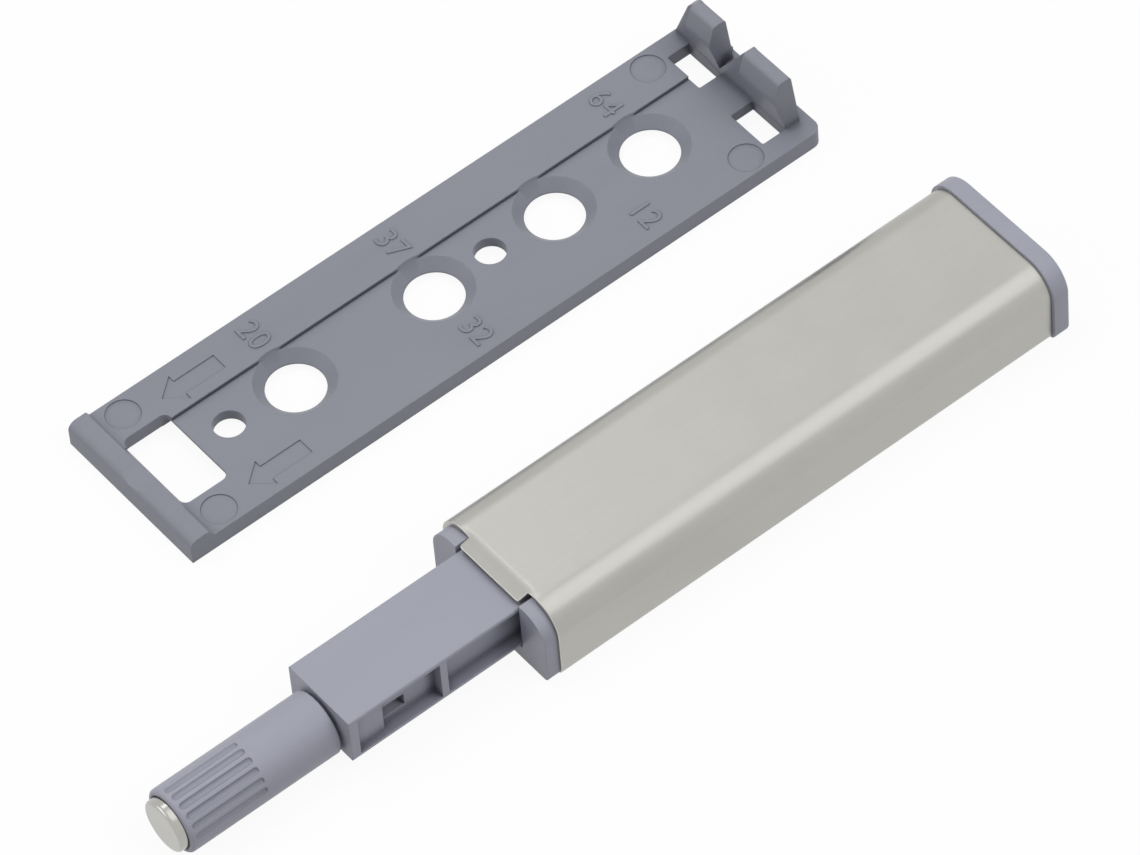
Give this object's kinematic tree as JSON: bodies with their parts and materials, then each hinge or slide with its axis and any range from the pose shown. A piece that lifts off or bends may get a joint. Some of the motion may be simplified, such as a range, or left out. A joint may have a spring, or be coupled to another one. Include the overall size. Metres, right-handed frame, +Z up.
{
  "type": "magnetic touch latch",
  "caption": "Push-to-open touch latch: sprung slider with an adjustable magnetic tip in a steel-covered housing, with its screw-on clip plate laid beside it.",
  "frame": {"origin": "middle of the housing's underside", "axes": "+X along the latch towards its rear cap, the magnetic tip points along -X; +Y towards the mounting plate; +Z up from the surface that both lie on"},
  "size_m": [0.1026, 0.0533, 0.0092],
  "materials": {
    "plate_plastic": "satin",
    "housing_plastic": "satin",
    "cover_steel": "satin",
    "magnet_nickel": "polished",
    "spring_steel": "polished"
  },
  "bodies": {
    "housing": {"mounting_plate": "plate_plastic", "steel_cover": "cover_steel", "housing_tray": "housing_plastic", "rear_cap": "housing_plastic", "main_spring": "spring_steel", "spring_pin": "spring_steel", "follower_spring": "spring_steel"},
    "slider": {"slider": "housing_plastic"},
    "magnet": {"tip_magnet": "magnet_nickel"},
    "tip": {"tip_rod": "housing_plastic"},
    "follower": {"cam_follower": "spring_steel"}
  },
  "joints": [
    {"name": "slider_travel", "type": "slide", "parent": "housing", "child": "slider", "axis": [1, 0, 0], "range_m": [0, 0.037], "stiffness_N_per_m": 200, "springref_m": -0.02, "deforming": ["main_spring"]},
    {"name": "tip_travel", "type": "slide", "parent": "slider", "child": "magnet", "axis": [-1, 0, 0], "range_m": [0, 0.004]},
    {"name": "tip_turn", "type": "hinge", "parent": "magnet", "child": "tip", "pos_m": [-0.0523, 0, 0.0038], "axis": [-1, 0, 0], "range_deg": [0, 1440]},
    {"name": "follower_swing", "type": "hinge", "parent": "housing", "child": "follower", "pos_m": [0.009, 0.0053, 0.0044], "axis": [0, 1, 0], "range_deg": [0, 6.9]}
  ],
  "couplings": [
    {"joint": "tip_turn", "follows": "tip_travel", "rad_per_m": 6283.2},
    {"joint": "follower_swing", "follows": "slider_travel", "rad_per_m": 3.2394}
  ]
}
